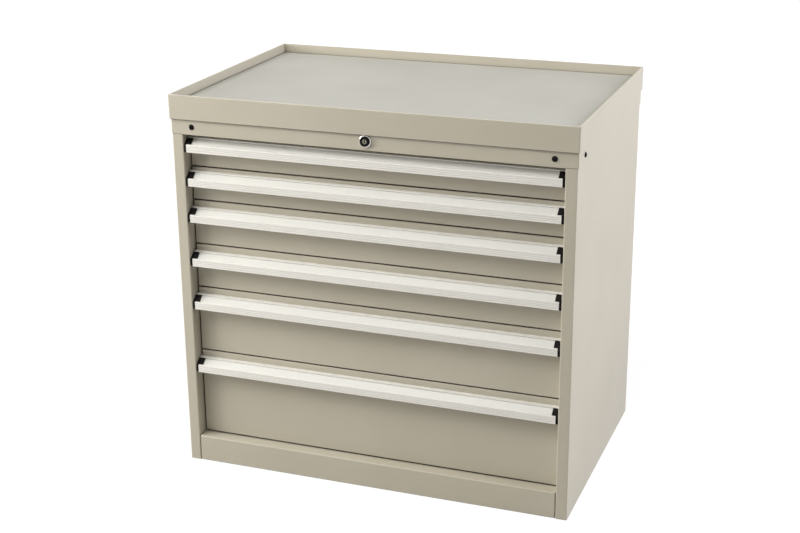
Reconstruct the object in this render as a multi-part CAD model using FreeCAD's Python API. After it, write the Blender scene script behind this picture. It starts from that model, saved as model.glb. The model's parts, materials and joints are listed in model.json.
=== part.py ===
import FreeCAD, Part
import math
import os

# A steel tool cabinet: six drawers on telescopic runners, a central lock and a tray on top.
# Millimetres. The origin is on the floor under the middle of the cabinet, +Z is up,
# and the drawers open towards -Y. Drawers are numbered from the top.

Vector = FreeCAD.Vector

# Carcass
CABINET_WIDTH = 880.0
CABINET_DEPTH = 580.0
SHEET = 1.5                # carcass sheet steel
BEND = 1.0                 # inside radius of a carcass bend
POST_WIDTH = 25.0          # front flange of a side panel, which forms the post
POST_DEPTH = 40.0          # the post's return beside the drawers
POST_LIP = 12.0            # the lip that stiffens the return
REAR_FLANGE = 25.0
BACK_SIDE_GAP = 1.5        # back panel to the inside of each side panel
PLINTH_HEIGHT = 60.0
PLINTH_DEPTH = 28.0
PLINTH_SEAM = 1.0          # gap between the plinth and each post
BASE_EDGE = 18.0           # downturned edge of the base panel
BAND_EXPOSED = 32.0        # height of the top band that shows under the tray
BAND_SEAM = 0.8            # gap between a post and the band above it
BAND_SHELF = 34.0          # depth of the shelf at the band's lower front edge
SHELF_LIP = 9.0
SHELF_UPSTAND = 10.0       # the shelf's front edge, folded up into the band's face

# Tray
TRAY_OVERHANG = 4.0
SKIRT_HEIGHT = 52.0
TRAY_DEPTH = 20.0          # from the rim down to the mat
RIM_WIDTH = 4.0
TRAY_CORNER = 3.0
RIM_ROUND = 1.2
MAT_THICKNESS = 3.0
MAT_GAP = 3.0
LUG_WIDTH = 20.0
LUG_DROP = 55.0

# Drawers
FRONT_HEIGHTS = (72.0, 72.0, 97.0, 97.0, 147.0, 197.0)
FRONT_GAP = 3.0
FRONT_SIDE_GAP = 2.5
FRONT_SETBACK = 28.0       # drawer fronts behind the faces of the posts
FRONT_PAN = 16.0           # depth of the folded front
DRAWER_SHEET = 1.0
DRAWER_BEND = 0.8
BOX_RISE = 4.0             # floor of the box above the lower edge of its front
BOX_SHORTER = 14.0         # box wall below the height of its front
HEM_HEIGHT = 8.0

# Telescopic runners
RUNNER_WIDTH = 13.0
RUNNER_HEIGHT = 45.0
RUNNER_SHEET = 1.2
RUNNER_PLAY = 0.4
RUNNER_RISE = 2.0          # runner above the floor of its drawer
RUNNER_FRONT = 8.0         # fixed runner behind the rear face of the drawer front
RUNNER_REAR_GAP = 25.0     # fixed runner to the back panel
FLANGE_SHORT = 3.4         # fixed flange ends this far from the drawer wall

# Uprights that carry the runners
UPRIGHT_DEPTH = 30.0
UPRIGHT_AHEAD = 2.6        # front upright ahead of the runners' front ends
REAR_UPRIGHT_INSET = 10.0  # rear upright ahead of the runners' rear ends
SLOT_PITCH = 100.0
SLOT_SIZE = (12.0, 5.0)    # along the depth, up the height
SLOT_MARGIN = 20.0

# Handle extrusion, measured out from the drawer front and down from its own top edge
HANDLE_OUT = 27.0
HANDLE_FALL = 13.5
HANDLE_LEDGE = (10.2, 0.4)   # front edge of the ledge above the label
SLOPE_START = (10.2, 2.5)    # foot of the step below the ledge
HANDLE_NOSE = (22.8, 13.2)   # rear edge of the nose below the label
HANDLE_LIP = 17.0
HANDLE_WALL = 2.3
HANDLE_FLOOR = 1.6         # metal under the label channel
HANDLE_FOOT = 16.0         # leg that lies on the drawer front
HANDLE_BELOW = (7.0, 7.0, 13.0, 13.0, 13.0, 13.0)
CHANNEL_DEPTH = 2.2
CHANNEL_LIP = 1.2          # metal over the undercut that holds the label
CHANNEL_UNDERCUT = 0.9
NOSE_ROUND = 1.4
LIP_ROUND = 0.8
CAVITY_ROUND = 1.5
RIB_COUNT = 3
RIB_DEPTH = 0.5
RIB_WIDTH = 1.4
CAP_THICKNESS = 4.2
CAP_SIDE_GAP = 1.0
CAP_CREST_ROUND = 2.0
CAP_TAB = 9.4              # length of the tab that fills the end of the channel
CAP_RISE = 0.8             # tab above the slope
CAP_PLAY = 0.1             # under the ledge
CAP_SHOE = 7.0             # depth of the cap's lower end behind its nose
CAP_DROP = 2.0             # cap below the handle's foot
LABEL_THICKNESS = 0.7
LABEL_PLAY = 0.1

# Screws
SCREW_HEAD_RADIUS = 5.5
SCREW_HEAD_HEIGHT = 3.0
SCREW_RIM = 1.0            # upright part of the head
SCREW_BEVEL = 2.2          # width of the slope round the head's crown
SCREW_SHANK_RADIUS = 3.0
SCREW_PLAY = 0.05
SOCKET_FLATS = 4.0
SOCKET_DEPTH = 2.0
WELD_NUT = 4.0
WELD_NUT_FLATS = 10.0
FRONT_SCREW_INSET = 46.5   # from the cabinet's side
SIDE_SCREW_INSET = 50.0    # from the cabinet's front

# Lock
LOCK_RISE = 2.5            # lock above the line of the cover screws
LOCK_BEZEL_RADIUS = 13.0
LOCK_BEZEL_ROUND = 1.6
LOCK_BEZEL_STEP = 0.5      # where the two slopes of the bezel's edge meet
LOCK_STANDOFF = 2.6
LOCK_BARREL_RADIUS = 9.5
LOCK_BARREL_LENGTH = 22.0
LOCK_COLLAR_RADIUS = 10.4
LOCK_COLLAR_PROUD = 4.0    # collar's face in front of the bezel's
LOCK_COLLAR_BEVEL = 0.9
LOCK_RECESS = 1.8          # collar's seat in the bezel
LOCK_CORE_RADIUS = 5.0
LOCK_CORE_BELOW = 1.2      # core behind the collar's face
LOCK_CORE_PLAY = 0.08
KEYWAY = (2.2, 6.6, 6.0)   # width, height, depth
LOCK_NUT_FLATS = 24.0
LOCK_NUT_THICKNESS = 4.0
LOCK_TRAVEL = 11.0         # both lock bars move this far in a quarter turn
CAM_THICKNESS = 2.5
CAM_PIN_RADIUS = 2.0
CAM_EDGE = 2.0             # metal around the cam's pin
CAM_HUB_ROUND = 3.5
CAM_TIP_ROUND = 2.4
BAR_THICKNESS = 2.3
BAR_EDGE = 2.6             # metal around a slot in a bar
BAR_ROUND = 3.0
BAR_PLAY = 0.4
TRANSFER_HEIGHT = 16.0
TRANSFER_HEAD = 18.0       # width of the raised part behind the lock
LOCK_BAR_GAP = 2.0         # lock bar beside the line of the opening
LOCK_BAR_WIDTH = 16.0
LOCK_PIN_INSET = 3.5       # pin from the inner edge of the lock bar
LOCK_PIN_RADIUS = 3.0
LOCK_PIN_AHEAD = 2.0       # pin in front of the transfer bar
HOOK_HEIGHT = 9.0
HOOK_THICKNESS = 2.3
HOOK_ROUND = 3.0
HOOK_SEAT = 11.0           # hook plate on the lock bar
HOOK_REACH = 3.5           # hook to the wall of the drawer box
CATCH_BEHIND = 1.8         # catch behind its hook
CATCH_GAP = 3.0            # catch above its runner
CATCH_HEIGHT = 7.0
CATCH_WIDTH = 9.0
CATCH_THICKNESS = 3.0
HOOK_REST_GAP = 2.5        # unlocked hook above its catch
STUD_RADIUS = 3.0
STUD_HEAD_RADIUS = 4.8
STUD_HEAD = 1.5

# Places that follow from the sizes above
HALF = CABINET_WIDTH / 2
FRONT = -CABINET_DEPTH / 2
REAR = CABINET_DEPTH / 2
OPENING = HALF - POST_WIDTH                 # half the width between the posts
SKIN = HALF - SHEET                         # inner face of a side panel
STACK = sum(FRONT_HEIGHTS) + FRONT_GAP * (len(FRONT_HEIGHTS) + 1)
BAND_BOTTOM = PLINTH_HEIGHT + STACK
SKIRT_BOTTOM = BAND_BOTTOM + BAND_EXPOSED
RIM_TOP = SKIRT_BOTTOM + SKIRT_HEIGHT
TRAY_FLOOR = RIM_TOP - TRAY_DEPTH - MAT_THICKNESS
TRAY_UNDER = TRAY_FLOOR - SHEET
FITTING_LEVEL = (BAND_BOTTOM + SKIRT_BOTTOM) / 2
LOCK_LEVEL = FITTING_LEVEL + LOCK_RISE
FACE = FRONT + FRONT_SETBACK                # outer face of the drawer fronts
BOX_FRONT = FACE + FRONT_PAN
BOX_HALF = OPENING - RUNNER_WIDTH
BASE_TOP = PLINTH_HEIGHT - SHEET
BACK_FACE = REAR - SHEET                    # outer face of the back panel
BACK_INNER = BACK_FACE - SHEET
WEB_BACK = FRONT + SHEET                    # inner face of the band's front
RUNNER_START = BOX_FRONT + RUNNER_FRONT     # front ends of the fixed runners
RUNNER_END = BACK_INNER - RUNNER_REAR_GAP
BOX_DEPTH = RUNNER_END - RUNNER_START       # also the length of every runner member


def drawer_bottoms():
    """Lower edges of the drawer fronts, from the top drawer down."""
    level = BAND_BOTTOM
    bottoms = []
    for height in FRONT_HEIGHTS:
        level -= FRONT_GAP + height
        bottoms.append(level)
    return bottoms


BOTTOMS = drawer_bottoms()
SLOPE_ANGLE = math.atan2(HANDLE_NOSE[1] - SLOPE_START[1], HANDLE_NOSE[0] - SLOPE_START[0])
SLOPE_LENGTH = math.dist(SLOPE_START, HANDLE_NOSE)
HANDLE_HALF = OPENING - CAP_SIDE_GAP - CAP_THICKNESS

# Lock linkage, seen from the front: the lock bar stands behind the right-hand post
UPRIGHT_FRONT = RUNNER_START - UPRIGHT_AHEAD
LOCK_BAR_BACK = UPRIGHT_FRONT - BAR_PLAY
LOCK_BAR_FRONT = LOCK_BAR_BACK - BAR_THICKNESS
LOCK_BAR_LEFT = OPENING + LOCK_BAR_GAP
LOCK_PIN_X = LOCK_BAR_LEFT + LOCK_PIN_INSET
LOCK_PIN_LEVEL = FITTING_LEVEL + LOCK_TRAVEL
SHELF_BACK = FRONT + BAND_SHELF
TRANSFER_BACK = SHELF_BACK - SHEET - BAR_PLAY
TRANSFER_FRONT = TRANSFER_BACK - BAR_THICKNESS
CAM_RADIUS = LOCK_TRAVEL / math.sqrt(2)
BARREL_BACK = FRONT + LOCK_BARREL_LENGTH
COLLAR_FACE = FRONT - LOCK_STANDOFF - LOCK_COLLAR_PROUD


def runner_level(number):
    """Centre height of a drawer's runners."""
    return BOTTOMS[number - 1] + BOX_RISE + RUNNER_RISE + RUNNER_HEIGHT / 2


def box_bottom(number):
    return BOTTOMS[number - 1] + BOX_RISE


def box_top(number):
    return box_bottom(number) + FRONT_HEIGHTS[number - 1] - BOX_SHORTER


def catch_bottom(number):
    return runner_level(number) + RUNNER_HEIGHT / 2 + CATCH_GAP


def hook_bottom(number):
    return catch_bottom(number) + CATCH_HEIGHT + HOOK_REST_GAP


def place(u, v, plane, offset):
    """A point of a flat outline in space."""
    if plane == "xy":
        return Vector(u, v, offset)
    if plane == "xz":
        return Vector(u, offset, v)
    return Vector(offset, u, v)


def rounded_corner(before, corner, after, radius):
    """Start, middle and end of the arc that rounds a corner of a flat outline."""
    ax, ay = before[0] - corner[0], before[1] - corner[1]
    bx, by = after[0] - corner[0], after[1] - corner[1]
    a_length, b_length = math.hypot(ax, ay), math.hypot(bx, by)
    ax, ay, bx, by = ax / a_length, ay / a_length, bx / b_length, by / b_length
    half = math.acos(max(-1.0, min(1.0, ax * bx + ay * by))) / 2
    reach = radius / math.tan(half)
    cx, cy = ax + bx, ay + by
    c_length = math.hypot(cx, cy)
    middle = (radius / math.sin(half) - radius) / c_length
    start = (corner[0] + ax * reach, corner[1] + ay * reach)
    end = (corner[0] + bx * reach, corner[1] + by * reach)
    return start, (corner[0] + cx * middle, corner[1] + cy * middle), end


def outline(corners, plane, offset):
    """Closed wire through corners (u, v) or (u, v, radius)."""
    count = len(corners)
    stops = []
    for i, corner in enumerate(corners):
        if len(corner) == 3 and corner[2] > 0:
            stops.append(rounded_corner(corners[i - 1], corner, corners[(i + 1) % count], corner[2]))
        else:
            stops.append((corner[:2], None, corner[:2]))
    edges = []
    for i, (start, middle, end) in enumerate(stops):
        if middle is not None:
            edges.append(Part.Arc(*[place(*p, plane, offset) for p in (start, middle, end)]).toShape())
        a = place(*end, plane, offset)
        b = place(*stops[(i + 1) % count][0], plane, offset)
        if a.distanceToPoint(b) > 1e-6:
            edges.append(Part.LineSegment(a, b).toShape())
    return Part.Wire(edges)


def prism(corners, plane, start, end):
    """Outline pushed along the normal of its plane, from start to end."""
    push = place(0, 0, plane, end - start)
    return Part.Face(outline(corners, plane, start)).extrude(push)


def cross(a, b, c):
    return (b[0] - a[0]) * (c[1] - b[1]) - (b[1] - a[1]) * (c[0] - b[0])


def offset_corner(a, b, c, distance):
    """Mitred offset of corner b to the left of the path a, b, c."""
    first, second = math.atan2(b[1] - a[1], b[0] - a[0]), math.atan2(c[1] - b[1], c[0] - b[0])
    half = (second - first) / 2
    normal = first + half + math.pi / 2
    reach = distance / math.cos(half)
    return b[0] + reach * math.cos(normal), b[1] + reach * math.sin(normal)


def folded(path, thickness, bend):
    """Corners of a folded strip: the path and its offset, to the left if thickness is positive.

    The bend is the inside radius; 0 leaves the folds sharp.
    """
    near, far = [], []
    gauge = abs(thickness)
    for i, b in enumerate(path):
        a = path[i - 1] if i > 0 else (2 * b[0] - path[1][0], 2 * b[1] - path[1][1])
        c = path[i + 1] if i < len(path) - 1 else (2 * b[0] - a[0], 2 * b[1] - a[1])
        turn = cross(a, b, c) * thickness
        outside = bend + gauge if bend else 0
        near.append((*b, outside if turn > 1e-9 else bend if turn < -1e-9 else 0))
        far.append((*offset_corner(a, b, c, thickness),
                    bend if turn > 1e-9 else outside if turn < -1e-9 else 0))
    return near + far[::-1]


def block(x, y, z):
    """Box between the low and high values of each axis."""
    return Part.makeBox(x[1] - x[0], y[1] - y[0], z[1] - z[0], Vector(x[0], y[0], z[0]))


def both(half):
    return (-half, half)


def edges_on(shape, axis, level):
    """Edges that lie in the plane at a level along an axis."""
    found = []
    for edge in shape.Edges:
        box = edge.BoundBox
        low, high = {"x": (box.XMin, box.XMax), "y": (box.YMin, box.YMax), "z": (box.ZMin, box.ZMax)}[axis]
        if max(abs(level - low), abs(level - high)) < 1e-4:
            found.append(edge)
    return found


def rounded_block(x, y, z, radius, axis, level):
    """Box with the four edges of one face rounded."""
    solid = block(x, y, z)
    return solid.makeFillet(radius, edges_on(solid, axis, level))


def pillar_block(x, y, z, radius):
    """Box with its four upright edges rounded."""
    corners = [(x[0], y[0], radius), (x[1], y[0], radius), (x[1], y[1], radius), (x[0], y[1], radius)]
    return prism(corners, "xy", z[0], z[1])


def rod(x, z, radius, y):
    """Cylinder along Y."""
    return Part.makeCylinder(radius, y[1] - y[0], Vector(x, y[0], z), Vector(0, 1, 0))


def hexagon(flats, start, end):
    """Hexagonal bar along Y through the origin of XZ."""
    radius = flats / math.sqrt(3)
    corners = [(radius * math.cos(math.pi * k / 3), radius * math.sin(math.pi * k / 3)) for k in range(6)]
    return prism(corners, "xz", start, end)


def turned(corners, x, z):
    """Solid of revolution about an axis along Y; corners are (radius, y)."""
    face = Part.Face(outline([(r, y, *rest) for r, y, *rest in corners], "xy", 0))
    return face.revolve(Vector(0, 0, 0), Vector(0, 1, 0), 360).translated(Vector(x, 0, z))


def mirrored(shape):
    return shape.mirror(Vector(0, 0, 0), Vector(1, 0, 0))


def fused(first, *rest):
    return first.fuse(list(rest)).removeSplitter()


# Carcass

def side_panel_right():
    path = [(OPENING + POST_LIP, FRONT + POST_DEPTH), (OPENING, FRONT + POST_DEPTH), (OPENING, FRONT),
            (HALF, FRONT), (HALF, REAR), (HALF - REAR_FLANGE, REAR)]
    panel = prism(folded(path, SHEET, BEND), "xy", 0, TRAY_UNDER)
    post_top = BAND_BOTTOM - BAND_SEAM
    panel = panel.cut([
        block((OPENING - 1, SKIN), (FRONT - 1, FRONT + POST_DEPTH + 1), (post_top, TRAY_UNDER + 1)),
        block((SKIN - 1, HALF + 1), (FRONT - 1, WEB_BACK + BEND), (post_top, TRAY_UNDER + 1)),
    ])
    across = (OPENING, SKIN)
    along = (FRONT + POST_DEPTH, BACK_INNER)
    panel = fused(panel, block(across, along, (0, SHEET)),
                  block(across, along, (TRAY_UNDER - SHEET, TRAY_UNDER)), side_weld_nut())
    return panel.cut(side_screw_hole())


def side_screw_hole():
    start, end = HALF + SHEET + 1, SKIN - WELD_NUT - 1
    hole = Part.makeCylinder(SCREW_SHANK_RADIUS + SCREW_PLAY, start - end, Vector(start, 0, 0),
                             Vector(-1, 0, 0))
    return hole.translated(Vector(0, FRONT + SIDE_SCREW_INSET, FITTING_LEVEL))


def side_weld_nut():
    nut = hexagon(WELD_NUT_FLATS, 0, WELD_NUT)
    nut.rotate(Vector(0, 0, 0), Vector(0, 0, 1), 90)
    return nut.translated(Vector(SKIN, FRONT + SIDE_SCREW_INSET, FITTING_LEVEL))


def back_panel():
    return block(both(SKIN - BACK_SIDE_GAP), (BACK_INNER, BACK_FACE), (0, TRAY_UNDER - SHEET))


def base_panel():
    front, rear = FRONT + POST_DEPTH + BAR_PLAY, BACK_INNER
    pan = block(both(SKIN), (front, rear), (BASE_TOP - BASE_EDGE, BASE_TOP))
    hollow = block(both(SKIN - SHEET), (front - 1, rear - SHEET), (0, BASE_TOP - SHEET))
    return pan.cut(hollow)


def plinth():
    half = OPENING - PLINTH_SEAM
    back = FRONT + PLINTH_DEPTH
    pan = rounded_block(both(half), (FRONT, back), (0, PLINTH_HEIGHT), BEND + SHEET, "y", FRONT)
    hollow = rounded_block(both(half - SHEET), (WEB_BACK, back + 1), (SHEET, PLINTH_HEIGHT - SHEET),
                           BEND, "y", WEB_BACK)
    shelf = block(both(half - SHEET), (back, BOX_FRONT), (BASE_TOP, PLINTH_HEIGHT))
    return fused(pan.cut(hollow), shelf)


def top_band():
    """Band round the top of the carcass, with a shelf along its lower front edge."""
    outer = HALF + SHEET
    levels = (BAND_BOTTOM, TRAY_UNDER)
    band = pillar_block(both(outer), (FRONT, REAR + SHEET), levels, BEND + SHEET)
    band = band.cut(pillar_block(both(HALF), (WEB_BACK, REAR), levels, BEND))
    half = OPENING - PLINTH_SEAM
    joint = BAND_BOTTOM + SHELF_UPSTAND
    band = band.cut(block(both(half), (FRONT - 1, WEB_BACK + 1), (BAND_BOTTOM - 1, joint)))
    path = [(SHELF_BACK, BAND_BOTTOM + SHELF_LIP), (SHELF_BACK, BAND_BOTTOM), (FRONT, BAND_BOTTOM),
            (FRONT, joint)]
    shelf = prism(folded(path, -SHEET, BEND), "yz", -half, half)
    return fused(band, shelf).cut(band_holes())


def band_holes():
    bore = SCREW_SHANK_RADIUS + SCREW_PLAY
    sides = side_screw_hole()
    fronts = [rod(x, FITTING_LEVEL, bore, (FRONT - 1, WEB_BACK + 1)) for x in both(HALF - FRONT_SCREW_INSET)]
    lock = rod(0, LOCK_LEVEL, LOCK_BARREL_RADIUS + SCREW_PLAY, (FRONT - 1, WEB_BACK + 1))
    return [sides, mirrored(sides), lock] + fronts


def top_tray():
    half, front, rear = HALF + TRAY_OVERHANG, FRONT - TRAY_OVERHANG, REAR + TRAY_OVERHANG
    tray = pillar_block(both(half), (front, rear), (SKIRT_BOTTOM, RIM_TOP), TRAY_CORNER)
    tray = tray.makeFillet(RIM_ROUND, edges_on(tray, "z", RIM_TOP))
    under = pillar_block(both(half - SHEET), (front + SHEET, rear - SHEET),
                         (SKIRT_BOTTOM - 1, RIM_TOP - SHEET), TRAY_CORNER - SHEET)
    inner = RIM_WIDTH - SHEET
    well = pillar_block(both(half - inner), (front + inner, rear - inner),
                        (TRAY_UNDER, RIM_TOP - SHEET), TRAY_CORNER - SHEET)
    recess = block(both(half - RIM_WIDTH), (front + RIM_WIDTH, rear - RIM_WIDTH), (TRAY_FLOOR, RIM_TOP + 1))
    tray = tray.cut(under.cut(well)).cut(recess)
    return fused(tray, tray_lug(), mirrored(tray_lug())).cut(lug_hole(1)).cut(lug_hole(-1))


def tray_lug():
    """Lug behind the band, which a front screw pulls forward."""
    x = HALF - FRONT_SCREW_INSET
    plate = block((x - LUG_WIDTH / 2, x + LUG_WIDTH / 2), (WEB_BACK, WEB_BACK + SHEET),
                  (TRAY_UNDER - LUG_DROP, TRAY_UNDER))
    nut = hexagon(WELD_NUT_FLATS, WEB_BACK + SHEET, WEB_BACK + SHEET + WELD_NUT)
    return plate.fuse(nut.translated(Vector(x, 0, FITTING_LEVEL)))


def lug_hole(side):
    x = side * (HALF - FRONT_SCREW_INSET)
    return rod(x, FITTING_LEVEL, SCREW_SHANK_RADIUS + SCREW_PLAY, (FRONT, FRONT + POST_DEPTH))


def top_mat():
    inset = RIM_WIDTH + MAT_GAP - TRAY_OVERHANG
    half, front, rear = HALF - inset, FRONT + inset, REAR - inset
    return pillar_block(both(half), (front, rear), (TRAY_FLOOR, TRAY_FLOOR + MAT_THICKNESS), TRAY_CORNER)


def button_screw():
    """Screw along Y with its head's seat at y=0 and its head towards -Y."""
    radius, height = SCREW_HEAD_RADIUS, SCREW_HEAD_HEIGHT
    length = 2 * SHEET + WELD_NUT
    corners = [(0, length), (SCREW_SHANK_RADIUS, length), (SCREW_SHANK_RADIUS, 0), (radius, 0),
               (radius, -SCREW_RIM), (radius - SCREW_BEVEL, -height), (0, -height)]
    return turned(corners, 0, 0).cut(hexagon(SOCKET_FLATS, -height - 1, SOCKET_DEPTH - height))


def cover_screws():
    x = HALF - FRONT_SCREW_INSET
    fronts = [button_screw().translated(Vector(s * x, FRONT, FITTING_LEVEL)) for s in (1, -1)]
    side = button_screw()
    side.rotate(Vector(0, 0, 0), Vector(0, 0, 1), 90)
    side = side.translated(Vector(HALF + SHEET, FRONT + SIDE_SCREW_INSET, FITTING_LEVEL))
    return Part.makeCompound(fronts + [side, mirrored(side)])


# Uprights and runners

def upright(front):
    path = [(SKIN, front), (OPENING, front), (OPENING, front + UPRIGHT_DEPTH), (SKIN, front + UPRIGHT_DEPTH)]
    post = prism(folded(path, -SHEET, BEND), "xy", BASE_TOP, BAND_BOTTOM)
    middle = front + UPRIGHT_DEPTH / 2
    count = int((BAND_BOTTOM - BASE_TOP - 2 * SLOT_MARGIN) / SLOT_PITCH)
    depth, height = SLOT_SIZE
    slots = []
    for k in range(count):
        level = BASE_TOP + SLOT_MARGIN + SLOT_PITCH * (k + 0.5)
        slots.append(block((OPENING - 1, OPENING + SHEET + 1), (middle - depth / 2, middle + depth / 2),
                           (level - height / 2, level + height / 2)))
    return post.cut(slots)


def stud_levels():
    """A stud midway between the hooks of each pair of drawers."""
    return [(hook_bottom(n) + hook_bottom(n + 1) + HOOK_HEIGHT) / 2 for n in range(1, len(BOTTOMS), 2)]


def guide_studs():
    """Headed studs on the right-hand front upright, which the lock bar slides on."""
    x = LOCK_BAR_LEFT + LOCK_BAR_WIDTH / 2
    head = LOCK_BAR_FRONT - BAR_PLAY
    studs = []
    for level in stud_levels():
        studs.append(rod(x, level, STUD_RADIUS, (head - STUD_HEAD, UPRIGHT_FRONT)))
        studs.append(rod(x, level, STUD_HEAD_RADIUS, (head - STUD_HEAD, head)))
    return studs


def runner_uprights():
    rear = RUNNER_END - REAR_UPRIGHT_INSET - UPRIGHT_DEPTH
    front_right = fused(upright(UPRIGHT_FRONT), *guide_studs())
    uprights = [front_right, mirrored(upright(UPRIGHT_FRONT)), upright(rear), mirrored(upright(rear))]
    return Part.makeCompound(uprights)


def rail(web, tip, half_height, gauge, level, front):
    """Right-hand channel: its web at x=web, its flanges reaching to x=tip."""
    path = [(tip, level - half_height), (web, level - half_height), (web, level + half_height),
            (tip, level + half_height)]
    return prism(folded(path, gauge, 0), "xz", front, front + BOX_DEPTH)


def rail_pair(web, tip, half_height, gauge, level, front):
    right = rail(web, tip, half_height, gauge, level, front)
    return [right, mirrored(right)]


def fixed_rails(number):
    tip = BOX_HALF + FLANGE_SHORT
    return rail_pair(OPENING, tip, RUNNER_HEIGHT / 2, RUNNER_SHEET, runner_level(number), RUNNER_START)


def cabinet_rails():
    return Part.makeCompound([r for n in range(1, len(BOTTOMS) + 1) for r in fixed_rails(n)])


def middle_rails(number):
    step = RUNNER_SHEET + RUNNER_PLAY
    return Part.makeCompound(rail_pair(OPENING - step, BOX_HALF + step, RUNNER_HEIGHT / 2 - step,
                                       RUNNER_SHEET, runner_level(number), RUNNER_START))


def lock_catch(number):
    """Block on the drawer's right-hand wall, which the lock's hook drops in front of."""
    front = LOCK_BAR_FRONT + CATCH_BEHIND
    low = catch_bottom(number)
    return block((BOX_HALF, BOX_HALF + CATCH_WIDTH), (front, front + CATCH_THICKNESS),
                 (low, low + CATCH_HEIGHT))


def drawer_rails(number):
    step = 2 * (RUNNER_SHEET + RUNNER_PLAY)
    rails = rail_pair(BOX_HALF, OPENING - step, RUNNER_HEIGHT / 2 - step, -RUNNER_SHEET,
                      runner_level(number), BOX_FRONT)
    return Part.makeCompound(rails + [lock_catch(number)])


# Drawers

def drawer_box(number):
    low, high = box_bottom(number), box_top(number)
    rear = BOX_FRONT + BOX_DEPTH
    gauge = DRAWER_SHEET
    shell = rounded_block(both(BOX_HALF), (BOX_FRONT, rear), (low, high), DRAWER_BEND + gauge, "z", low)
    room = rounded_block(both(BOX_HALF - gauge), (BOX_FRONT + gauge, rear - gauge),
                         (low + gauge, high - HEM_HEIGHT), DRAWER_BEND, "z", low + gauge)
    mouth = block(both(BOX_HALF - 2 * gauge), (BOX_FRONT + 2 * gauge, rear - 2 * gauge),
                  (high - HEM_HEIGHT - 1, high + 1))
    return shell.cut([room, mouth])


def drawer_front(number):
    low = BOTTOMS[number - 1]
    high = low + FRONT_HEIGHTS[number - 1]
    half = OPENING - FRONT_SIDE_GAP
    gauge = DRAWER_SHEET
    pan = rounded_block(both(half), (FACE, BOX_FRONT), (low, high), DRAWER_BEND + gauge, "y", FACE)
    inside = FACE + gauge
    hollow = rounded_block(both(half - gauge), (inside, BOX_FRONT + 1), (low + gauge, high - gauge),
                           DRAWER_BEND, "y", inside)
    return pan.cut(hollow)


def slope(along, deep):
    """Point of the slope the label lies on, from its upper edge and below its surface."""
    c, s = math.cos(SLOPE_ANGLE), math.sin(SLOPE_ANGLE)
    return SLOPE_START[0] + along * c - deep * s, -SLOPE_START[1] - along * s - deep * c


def crest():
    """Top of the handle from the drawer front to its nose, without the step below the ledge."""
    return [(0, 0), slope(0, 0), slope(SLOPE_LENGTH, 0), (HANDLE_OUT, -HANDLE_FALL)]


def ledge_corners():
    return [(0, 0), (HANDLE_LEDGE[0], -HANDLE_LEDGE[1])]


def level_under(a, b, out, deep):
    """Height of a line drawn below the flat from a to b, at a distance from the drawer front."""
    angle = math.atan2(b[1] - a[1], b[0] - a[0])
    return a[1] + (out - a[0]) * math.tan(angle) - deep / math.cos(angle)


def channel_corners():
    """The undercut label channel in the slope."""
    end, cut = SLOPE_LENGTH, CHANNEL_UNDERCUT
    lip, deep = CHANNEL_LIP, CHANNEL_DEPTH
    return [slope(0, 0), slope(0, lip), slope(-cut, lip), slope(-cut, deep),
            slope(end + cut, deep), slope(end + cut, lip), slope(end, lip), slope(end, 0)]


def cavity_corners(inside):
    """Underside of the handle, which follows its top at an even depth."""
    deep = CHANNEL_DEPTH + HANDLE_FLOOR
    rear, ledge, nose, front = crest()
    return [(inside, level_under(nose, front, inside, deep), CAVITY_ROUND),
            (*offset_corner(ledge, nose, front, -deep), CAVITY_ROUND),
            (*offset_corner(rear, ledge, nose, -deep), CAVITY_ROUND),
            (HANDLE_WALL, level_under(rear, ledge, HANDLE_WALL, deep), CAVITY_ROUND)]


def rib_corners():
    """Shallow grooves down the face of the lip."""
    pitch = HANDLE_LIP / (RIB_COUNT + 1)
    corners = []
    for k in range(RIB_COUNT):
        level = -HANDLE_FALL - pitch * (k + 1)
        half = RIB_WIDTH / 2
        corners += [(HANDLE_OUT, level + half), (HANDLE_OUT - RIB_DEPTH, level + half / 2),
                    (HANDLE_OUT - RIB_DEPTH, level - half / 2), (HANDLE_OUT, level - half)]
    return corners


def handle_section():
    inside = HANDLE_OUT - HANDLE_WALL
    bottom = -HANDLE_FALL - HANDLE_LIP
    return (ledge_corners() + channel_corners() + [(HANDLE_OUT, -HANDLE_FALL, NOSE_ROUND)] + rib_corners()
            + [(HANDLE_OUT, bottom, LIP_ROUND), (inside, bottom, LIP_ROUND)] + cavity_corners(inside)
            + [(HANDLE_WALL, -HANDLE_FOOT), (0, -HANDLE_FOOT)])


def on_front(corners, number):
    """Handle corners (out, up) as corners in YZ on a drawer's front."""
    top = BOTTOMS[number - 1] + FRONT_HEIGHTS[number - 1] - HANDLE_BELOW[number - 1]
    return [(FACE - out, top + up, *rest) for out, up, *rest in corners]


def drawer_handle(number):
    """The extrusion; its ledge runs on over the end caps."""
    ledge = ledge_corners() + [slope(0, 0), (0, -SLOPE_START[1])]
    ends = HANDLE_HALF + CAP_THICKNESS
    return fused(prism(on_front(handle_section(), number), "yz", -HANDLE_HALF, HANDLE_HALF),
                 prism(on_front(ledge, number), "yz", -ends, ends))


def channel_fill(deep_from, deep_to, play):
    """Corners of a strip that lies in the label channel."""
    rear = play - CHANNEL_UNDERCUT
    front = SLOPE_LENGTH + CHANNEL_UNDERCUT - play
    return [slope(rear, deep_from), slope(front, deep_from), slope(front, deep_to), slope(rear, deep_to)]


def drawer_label(number):
    strip = channel_fill(CHANNEL_DEPTH - LABEL_THICKNESS, CHANNEL_DEPTH, LABEL_PLAY)
    half = HANDLE_HALF - CAP_TAB
    return prism(on_front(strip, number), "yz", -half, half)


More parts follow.
